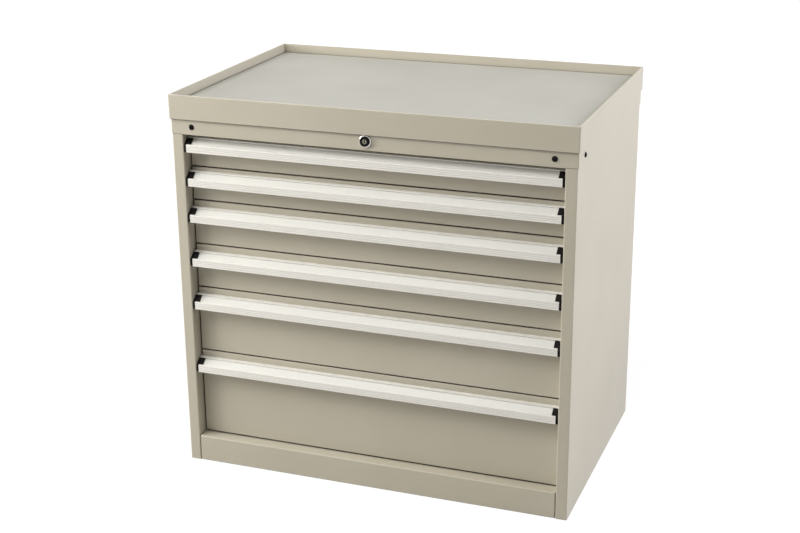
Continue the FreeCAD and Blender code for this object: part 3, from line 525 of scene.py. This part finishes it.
def addFloor():
    # pale paper that runs out to pure white and keeps the shadow near the cabinet
    look = floorLook
    reach = look["reachM"]
    mesh = bpy.data.meshes.new("floor")
    mesh.from_pydata([(-reach, -reach, 0), (reach, -reach, 0), (reach, reach, 0), (-reach, reach, 0)], [],
                     [(0, 1, 2, 3)])
    floor = bpy.data.objects.new("floor", mesh)
    bpy.context.scene.collection.objects.link(floor)
    material, tree = emptyMaterial("paperSweep")
    away = addNode(tree, "VectorMath", {0: placeOn(tree)}, "Value", operation="LENGTH")
    near, far = look["shadowM"]
    kept = addNode(tree, "MapRange", {"Value": away, "From Min": near, "From Max": far,
                                      "To Min": look["keptShadow"], "To Max": 0})
    paper = addNode(tree, "BsdfDiffuse", {"Color": linear(look["paper"])})
    glow = addNode(tree, "Emission", {"Color": linear(look["glow"]), "Strength": look["white"]})
    bright = addNode(tree, "MixShader", {0: kept, 1: glow, 2: paper})
    dull = addNode(tree, "BsdfDiffuse", {"Color": linear(look["bounce"])})
    sheet = addNode(tree, "MixShader", {0: shownRays(tree), 1: dull, 2: bright})
    addNode(tree, "OutputMaterial", {"Surface": sheet})
    mesh.materials.append(material)


addFloor()
print("floor:", floorLook["reachM"], "m of pale paper each way")


# Light

worldLook = {"colour": "#ffffff", "shown": 1.0, "fill": 0.01}


def addWorld():
    # white where it is seen, and next to nothing as light
    look = worldLook
    world = bpy.data.worlds.new("studio")
    world.use_nodes = True
    tree = world.node_tree
    tree.nodes.clear()
    strength = addNode(tree, "MapRange", {"Value": shownRays(tree), "To Min": look["fill"],
                                          "To Max": look["shown"]})
    sky = addNode(tree, "Background", {"Color": linear(look["colour"]), "Strength": strength})
    addNode(tree, "OutputWorld", {"Surface": sky})
    bpy.context.scene.world = world


lampLook = {
    # name: place, size and target in metres, power in watts, colour
    "frontLeft": ((-3.1, -1.45, 1.4), (1.6, 1.0), (-0.1, -0.3, 0.45), 84, "#fefcf7"),
    "aboveLeft": ((-1.95, -1.9, 2.8), (1.6, 1.2), (-0.1, -0.3, 0.45), 50, "#fefcf7"),
    "above": ((-0.4, -1.5, 3.3), (1.6, 1.2), (0.0, -0.2, 0.6), 25, "#fefcf7"),
    "frontRight": ((2.8, -2.4, 1.6), (1.6, 1.2), (0.1, -0.3, 0.45), 2, "#fbfaff"),
    "right": ((2.8, 0.35, 2.1), (2.2, 2.0), (0.4, 0.0, 0.5), 95, "#fbfaff"),
    "overhead": ((-1.6, 0.4, 3.0), (2.0, 2.0), (0.0, 0.0, 0.6), 22, "#fbfaff"),
}


def addLamp(name, place, size, target, power, colour):
    lamp = bpy.data.lights.new(name, "AREA")
    lamp.shape = "RECTANGLE"
    lamp.size, lamp.size_y = size
    lamp.energy = power
    lamp.color = linear(colour)[:3]
    holder = bpy.data.objects.new(name, lamp)
    holder.location = place
    aim = Vector(target) - Vector(place)
    holder.rotation_euler = aim.to_track_quat("-Z", "Y").to_euler()
    bpy.context.scene.collection.objects.link(holder)


addWorld()
for lampName, values in lampLook.items():
    addLamp(lampName, *values)
print("light: world and", len(lampLook), "lamps")


# Camera, worked out from the straight edges of the cabinet

cameraLook = {
    "placeMm": (1085.72, -3008.01, 1542.16),
    "yawDeg": 20.443,
    "pitchDeg": 19.377,
    "rollDeg": -0.459,
    "lensMm": 67.196,
    "sensorMm": 36,
    "farM": 200,
}


def addCamera():
    look = cameraLook
    yaw, pitch, roll = (math.radians(look[key]) for key in ("yawDeg", "pitchDeg", "rollDeg"))
    ahead = Vector((-math.sin(yaw) * math.cos(pitch), math.cos(yaw) * math.cos(pitch), -math.sin(pitch)))
    level = Vector((math.cos(yaw), math.sin(yaw), 0))
    up = level.cross(ahead)
    right = level * math.cos(roll) + up * math.sin(roll)
    above = up * math.cos(roll) - level * math.sin(roll)
    turn = Matrix((right, above, -ahead)).transposed()
    data = bpy.data.cameras.new("studioCamera")
    data.sensor_width = look["sensorMm"]
    data.sensor_fit = "HORIZONTAL"
    data.lens = look["lensMm"]
    data.clip_end = look["farM"]
    camera = bpy.data.objects.new("studioCamera", data)
    camera.matrix_world = Matrix.Translation(Vector(look["placeMm"]) * mm) @ turn.to_4x4()
    bpy.context.scene.collection.objects.link(camera)
    bpy.context.scene.camera = camera


addCamera()
bpy.context.scene.view_settings.view_transform = "Standard"
print("camera:", cameraLook["lensMm"], "mm lens")
